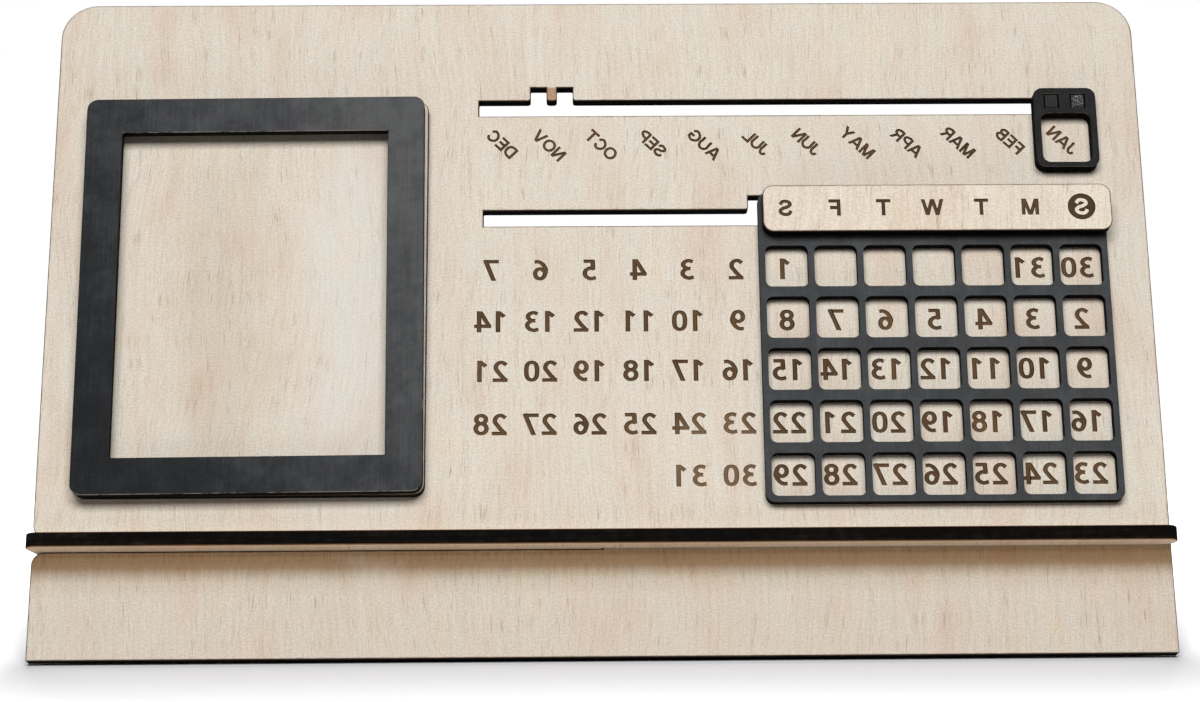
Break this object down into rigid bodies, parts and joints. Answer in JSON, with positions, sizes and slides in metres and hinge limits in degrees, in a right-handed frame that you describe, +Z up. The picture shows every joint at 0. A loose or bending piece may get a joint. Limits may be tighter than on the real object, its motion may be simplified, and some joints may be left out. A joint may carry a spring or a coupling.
{
  "type": "perpetual desk calendar",
  "caption": "Leaning plywood desk calendar with a photo frame, a month cursor that slides along a slot, and a sliding grid that lines weekdays up with dates.",
  "frame": {"origin": "on the desk, under the middle of the calendar's box", "axes": "+X to the viewer's right along the panel, +Y away from the viewer, +Z up; the panel leans back 25 degrees from upright, towards +Y"},
  "size_m": [0.3018, 0.0822, 0.1702],
  "materials": {
    "panel_plywood": "unfinished pale plywood, scorched at its cut edges",
    "stand_plywood": "unfinished pale plywood, scorched at its cut edges",
    "spacer_plywood": "unfinished pale plywood, scorched at its cut edges",
    "header_plywood": "unfinished pale plywood, scorched at its cut edges",
    "frame_paint": "plywood painted satin charcoal, with worn edges",
    "grid_paint": "plywood painted satin charcoal, with worn edges",
    "cursor_paint": "plywood painted satin charcoal, with worn edges",
    "hook_paint": "plywood painted matt charcoal"
  },
  "bodies": {
    "panel": {"back_panel": "panel_plywood", "stand_board": "stand_plywood", "frame_spacer": "spacer_plywood", "frame_front": "frame_paint"},
    "month_slider": {"month_cursor": "cursor_paint", "month_hook_left": "hook_paint", "month_hook_right": "hook_paint"},
    "week_slider": {"week_grid": "grid_paint", "weekday_header": "header_plywood", "week_hook_left": "hook_paint", "week_hook_right": "hook_paint"}
  },
  "joints": [
    {"name": "month_slide", "type": "slide", "parent": "panel", "child": "month_slider", "axis": [-1, 0, 0], "range_m": [0, 0.1562]},
    {"name": "week_slide", "type": "slide", "parent": "panel", "child": "week_slider", "axis": [-1, 0, 0], "range_m": [0, 0.0804]}
  ]
}
